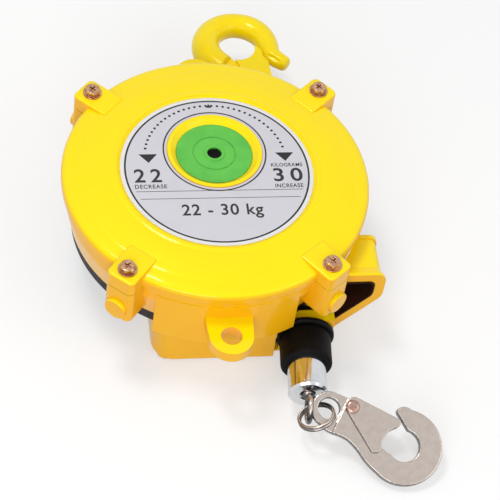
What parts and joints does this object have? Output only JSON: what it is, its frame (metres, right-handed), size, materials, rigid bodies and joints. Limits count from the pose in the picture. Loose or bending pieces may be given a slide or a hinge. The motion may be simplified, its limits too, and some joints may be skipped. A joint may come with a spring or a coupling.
{
  "type": "tool balancer",
  "caption": "Spring tool balancer with a conical rope drum, swivelling safety hook, rope guide housing, rubber bumper and snap hook on a swivel",
  "frame": {"origin": "on the round casing's axis, in the flat back that the balancer rests on", "axes": "+Z out of the front cover, +Y towards the top hook, +X to the side where the rope leaves"},
  "size_m": [0.2335, 0.3759, 0.0953],
  "materials": {
    "yellow_paint": "glossy yellow enamel",
    "dark_cast": "dark grey painted casting",
    "plate_print": "printed silver-grey plate",
    "green_paint": "green enamel",
    "gasket_fibre": "dark sheet gasket",
    "yellow_zinc": "yellow zinc plated steel",
    "black_oxide": "blackened steel",
    "black_plastic": "black moulded plastic",
    "liner_rubber": "black edge liner",
    "machined_steel": "turned steel",
    "bearing_steel": "ground steel",
    "cast_aluminium": "cast and turned aluminium",
    "wire_rope": "stranded steel wire rope",
    "spring_steel": "blued spring strip",
    "hook_zinc": "zinc plated forged steel",
    "bumper_rubber": "black rubber",
    "chrome": "chrome plate",
    "copper_rivet": "copper coloured rivet",
    "ferrule_copper": "copper sleeve"
  },
  "bodies": {
    "casing": {"main_casing": "yellow_paint", "front_cover": "yellow_paint", "name_plate": "plate_print", "hub_disc": "green_paint", "cover_gasket": "gasket_fibre", "cover_screws": "yellow_zinc", "cover_washers": "yellow_zinc", "rear_cover": "dark_cast", "rear_screws": "black_oxide", "rope_housing": "yellow_paint", "mouth_liner": "liner_rubber", "rope_guide": "black_plastic", "pawl_pin": "machined_steel", "pawl_spring": "spring_steel"},
    "top_hook": {"upper_hook": "yellow_paint", "hook_nut": "machined_steel", "hook_nut_pin": "machined_steel", "hook_washer": "machined_steel", "latch_pin": "yellow_zinc", "latch_spring": "spring_steel"},
    "latch": {"hook_latch": "yellow_paint"},
    "winding_drum": {"drum": "cast_aluminium", "wound_rope": "wire_rope", "spring_case": "cast_aluminium", "case_lid": "cast_aluminium", "case_screws": "black_oxide", "mainspring": "spring_steel", "bearing_outer_rings": "bearing_steel", "bearing_balls": "bearing_steel"},
    "tension": {"tension_shaft": "machined_steel", "ratchet_wheel": "machined_steel", "bearing_inner_rings": "bearing_steel", "shaft_rings": "black_oxide"},
    "pawl": {"pawl": "machined_steel"},
    "rope_end": {"rope_lead": "wire_rope", "bumper": "bumper_rubber", "rope_ferrule": "ferrule_copper", "swivel_sleeve": "chrome", "end_ring": "chrome"},
    "swivel": {"swivel_eye": "hook_zinc", "swivel_washer": "machined_steel"},
    "split_ring": {"split_ring": "hook_zinc"},
    "snap_hook": {"snap_hook": "hook_zinc", "gate_rivet": "copper_rivet", "gate_spring": "spring_steel"},
    "gate": {"snap_gate": "hook_zinc"}
  },
  "joints": [
    {"name": "hook_swivel", "type": "hinge", "parent": "casing", "child": "top_hook", "pos_m": [0.0343, 0.114, 0.042], "axis": [0, 1, 0], "continuous": true},
    {"name": "latch_hinge", "type": "hinge", "parent": "top_hook", "child": "latch", "pos_m": [0.045, 0.122, 0.042], "axis": [0, 0, 1], "range_deg": [0, 30], "stiffness_Nm_per_rad": 0.05, "springref_deg": -17.19, "deforming": ["latch_spring"]},
    {"name": "drum_spin", "type": "hinge", "parent": "casing", "child": "winding_drum", "pos_m": [0, 0.016, 0.03], "axis": [0, 0, -1], "range_deg": [0, 1110], "stiffness_Nm_per_rad": 0.2, "springref_deg": -286.48},
    {"name": "rope_payout", "type": "slide", "parent": "casing", "child": "rope_end", "axis": [-0.0872, -0.9962, 0], "range_m": [0, 1.3], "deforming": ["rope_lead"]},
    {"name": "tension_turn", "type": "hinge", "parent": "casing", "child": "tension", "pos_m": [0, 0.016, 0.03], "axis": [0, 0, 1], "range_deg": [0, 1080], "deforming": ["mainspring"]},
    {"name": "pawl_hinge", "type": "hinge", "parent": "casing", "child": "pawl", "pos_m": [0.0275, 0.032, 0.078], "axis": [0, 0, 1], "range_deg": [0, 15], "stiffness_Nm_per_rad": 0.03, "springref_deg": -17.19, "deforming": ["pawl_spring"]},
    {"name": "swivel_spin", "type": "hinge", "parent": "rope_end", "child": "swivel", "pos_m": [0.05178, -0.1265, 0.02], "axis": [-0.0872, -0.9962, 0], "continuous": true},
    {"name": "ring_swing", "type": "hinge", "parent": "swivel", "child": "split_ring", "pos_m": [0.0499, -0.1479, 0.02], "axis": [0, 0, 1], "range_deg": [-50, 0]},
    {"name": "snap_swing", "type": "hinge", "parent": "split_ring", "child": "snap_hook", "pos_m": [0.05795, -0.14102, 0.02257], "axis": [-0.025, -0.4146, 0.9097], "range_deg": [-6, 2]},
    {"name": "gate_hinge", "type": "hinge", "parent": "snap_hook", "child": "gate", "pos_m": [0.07751, -0.1421, 0.02262], "axis": [0.025, 0.4146, -0.9097], "range_deg": [0, 25], "stiffness_Nm_per_rad": 0.05, "springref_deg": -17.19, "deforming": ["gate_spring"]}
  ],
  "couplings": [
    {"joint": "rope_payout", "follows": "drum_spin", "m_per_rad": 0.067}
  ]
}
